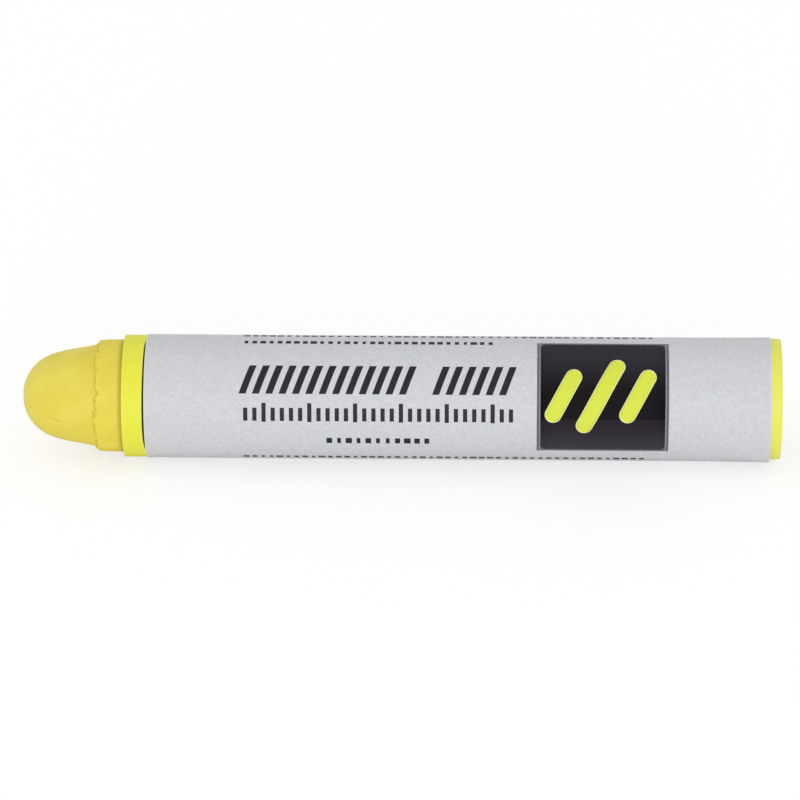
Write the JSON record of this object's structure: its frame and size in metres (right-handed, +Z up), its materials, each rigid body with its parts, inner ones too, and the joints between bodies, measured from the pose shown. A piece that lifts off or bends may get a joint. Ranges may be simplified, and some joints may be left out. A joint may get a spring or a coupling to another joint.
{
  "type": "industrial marking pen",
  "caption": "Solid paint marking pen: a stick of hardened paint with a round nose, in a labelled paper tube, pushed up by a card follower.",
  "frame": {"origin": "middle of the pen's outer box in X and Y, on the surface that the pen lies on", "axes": "+X along the pen, from the nose towards the rear end where the follower is pushed; +Y away from the printed side that the picture shows; +Z up"},
  "size_m": [0.1174, 0.0192, 0.0191],
  "materials": {
    "waxed_paper": "satin",
    "board": "matte",
    "yellow_paper": "satin",
    "label_paper": "satin",
    "paint": "satin",
    "dried_skin": "matte"
  },
  "bodies": {
    "tube": {"tube_liner": "waxed_paper", "tube_inner_ply": "board", "tube_outer_ply": "board", "tube_wrap": "yellow_paper", "label": "label_paper"},
    "stick": {"paint_stick": "paint", "paint_skin": "dried_skin", "follower_disc": "board"}
  },
  "joints": [
    {"name": "push_up", "type": "slide", "parent": "tube", "child": "stick", "axis": [-1, 0, 0], "range_m": [0, 0.09]}
  ]
}
